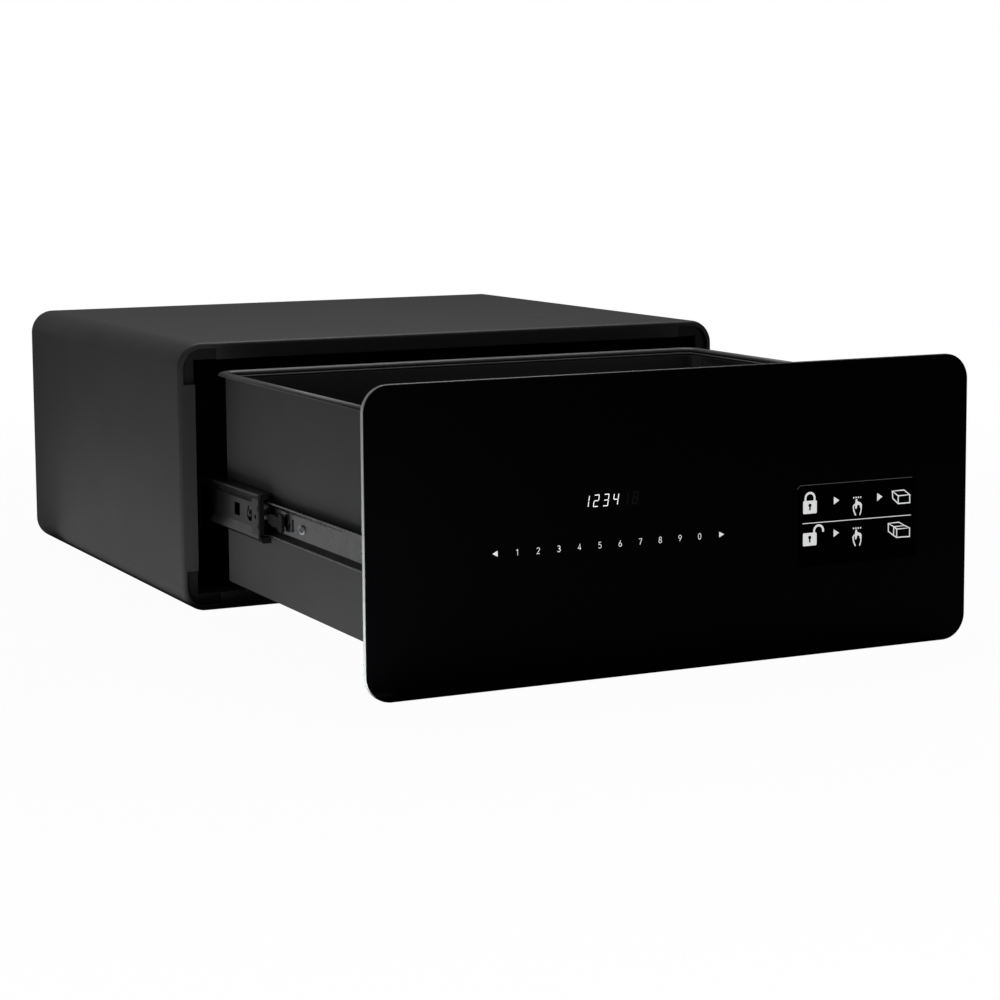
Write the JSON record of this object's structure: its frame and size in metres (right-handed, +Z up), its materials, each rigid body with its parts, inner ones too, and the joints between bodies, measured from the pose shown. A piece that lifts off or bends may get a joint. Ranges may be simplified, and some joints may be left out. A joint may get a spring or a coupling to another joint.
{
  "type": "under desk drawer safe",
  "caption": "Flat steel safe that fixes under a desk, its full-extension drawer drawn out: black glass front with touch keys and display, ball-bearing slides, motor-driven side bolts.",
  "frame": {"origin": "middle of the casing's bottom face", "axes": "+Z up; the drawer opens towards -Y; +X to the right seen from the front"},
  "size_m": [0.46, 0.751, 0.203],
  "materials": {
    "casing_coat": "fine matte powder coat",
    "drawer_coat": "fine matte powder coat",
    "inner_coat": "matte powder coat",
    "black_glass": "polished, printed black from behind",
    "black_zinc": "black zinc plate",
    "bright_zinc": "bright zinc plate",
    "hardened_steel": "ground and nickel plated",
    "spring_steel": "drawn wire",
    "black_plastic": "moulded",
    "felt": "short pile",
    "board": "solder mask",
    "cell_wrap": "printed sleeve"
  },
  "bodies": {
    "casing": {"casing_shell": "casing_coat", "casing_back_plate": "casing_coat", "front_frame": "inner_coat", "slide_bracket_left": "inner_coat", "slide_bracket_right": "inner_coat", "slide_outer_left": "black_zinc", "slide_outer_right": "black_zinc", "outer_screw_left_front": "bright_zinc", "outer_screw_left_rear": "bright_zinc", "outer_screw_right_front": "bright_zinc", "outer_screw_right_rear": "bright_zinc", "ejector_post_left": "black_plastic", "ejector_post_right": "black_plastic", "ejector_spring_left": "spring_steel", "ejector_spring_right": "spring_steel"},
    "outer_cage_left": {"ball_cage_outer_left": "bright_zinc"},
    "outer_cage_right": {"ball_cage_outer_right": "bright_zinc"},
    "middle_left": {"slide_middle_left": "black_zinc", "end_cap_left": "black_plastic"},
    "middle_right": {"slide_middle_right": "black_zinc", "end_cap_right": "black_plastic"},
    "inner_cage_left": {"ball_cage_inner_left": "bright_zinc"},
    "inner_cage_right": {"ball_cage_inner_right": "bright_zinc"},
    "drawer": {"drawer_box": "drawer_coat", "front_plate": "inner_coat", "glass_panel": "black_glass", "display_module": "board", "touch_board": "board", "partition": "drawer_coat", "partition_screw_left": "bright_zinc", "partition_screw_right": "bright_zinc", "battery_tray": "black_plastic", "battery_cell_lower_left": "cell_wrap", "battery_cell_lower_right": "cell_wrap", "battery_cell_upper_left": "cell_wrap", "battery_cell_upper_right": "cell_wrap", "lock_bracket": "bright_zinc", "lock_motor": "bright_zinc", "bolt_guide_left": "bright_zinc", "bolt_guide_right": "bright_zinc", "liner_floor": "felt", "liner_rear": "felt", "liner_left": "felt", "liner_right": "felt", "slide_inner_left": "black_zinc", "slide_inner_right": "black_zinc", "inner_screw_left_front": "bright_zinc", "inner_screw_left_middle": "bright_zinc", "inner_screw_left_rear": "bright_zinc", "inner_screw_right_front": "bright_zinc", "inner_screw_right_middle": "bright_zinc", "inner_screw_right_rear": "bright_zinc"},
    "battery_door": {"battery_door": "black_plastic"},
    "pinion": {"lock_pinion": "hardened_steel"},
    "bolt_left": {"lock_bolt_left": "hardened_steel"},
    "bolt_right": {"lock_bolt_right": "hardened_steel"},
    "lever_left": {"release_lever_left": "black_plastic"},
    "lever_right": {"release_lever_right": "black_plastic"}
  },
  "joints": [
    {"name": "drawer_slide", "type": "slide", "parent": "casing", "child": "drawer", "axis": [0, 1, 0], "range_m": [0, 0.3445], "deforming": ["ejector_spring_left", "ejector_spring_right"]},
    {"name": "outer_cage_left_slide", "type": "slide", "parent": "casing", "child": "outer_cage_left", "axis": [0, 1, 0], "range_m": [0, 0.0862]},
    {"name": "outer_cage_right_slide", "type": "slide", "parent": "casing", "child": "outer_cage_right", "axis": [0, 1, 0], "range_m": [0, 0.0862]},
    {"name": "middle_left_slide", "type": "slide", "parent": "casing", "child": "middle_left", "axis": [0, 1, 0], "range_m": [0, 0.1723]},
    {"name": "middle_right_slide", "type": "slide", "parent": "casing", "child": "middle_right", "axis": [0, 1, 0], "range_m": [0, 0.1723]},
    {"name": "inner_cage_left_slide", "type": "slide", "parent": "casing", "child": "inner_cage_left", "axis": [0, 1, 0], "range_m": [0, 0.2584]},
    {"name": "inner_cage_right_slide", "type": "slide", "parent": "casing", "child": "inner_cage_right", "axis": [0, 1, 0], "range_m": [0, 0.2584]},
    {"name": "bolt_right_slide", "type": "slide", "parent": "drawer", "child": "bolt_right", "axis": [1, 0, 0], "range_m": [0, 0.023]},
    {"name": "bolt_left_slide", "type": "slide", "parent": "drawer", "child": "bolt_left", "axis": [-1, 0, 0], "range_m": [0, 0.0231]},
    {"name": "pinion_spin", "type": "hinge", "parent": "drawer", "child": "pinion", "pos_m": [0, -0.5315, 0.14], "axis": [0, 1, 0], "range_deg": [0, 131.9]},
    {"name": "battery_door_hinge", "type": "hinge", "parent": "drawer", "child": "battery_door", "pos_m": [0.124, -0.4896, 0.0717], "axis": [-1, 0, 0], "range_deg": [0, 100]},
    {"name": "lever_left_pivot", "type": "hinge", "parent": "drawer", "child": "lever_left", "pos_m": [-0.205, -0.3265, 0.0865], "axis": [1, 0, 0], "range_deg": [0, 6.8], "stiffness_Nm_per_rad": 0.02},
    {"name": "lever_right_pivot", "type": "hinge", "parent": "drawer", "child": "lever_right", "pos_m": [0.205, -0.3265, 0.0865], "axis": [-1, 0, 0], "range_deg": [0, 6.8], "stiffness_Nm_per_rad": 0.02}
  ],
  "couplings": [
    {"joint": "outer_cage_left_slide", "follows": "drawer_slide", "ratio": 0.25},
    {"joint": "outer_cage_right_slide", "follows": "drawer_slide", "ratio": 0.25},
    {"joint": "middle_left_slide", "follows": "drawer_slide", "ratio": 0.5},
    {"joint": "middle_right_slide", "follows": "drawer_slide", "ratio": 0.5},
    {"joint": "inner_cage_left_slide", "follows": "drawer_slide", "ratio": 0.75},
    {"joint": "inner_cage_right_slide", "follows": "drawer_slide", "ratio": 0.75},
    {"joint": "bolt_left_slide", "follows": "bolt_right_slide", "ratio": 1},
    {"joint": "pinion_spin", "follows": "bolt_right_slide", "rad_per_m": 100}
  ]
}
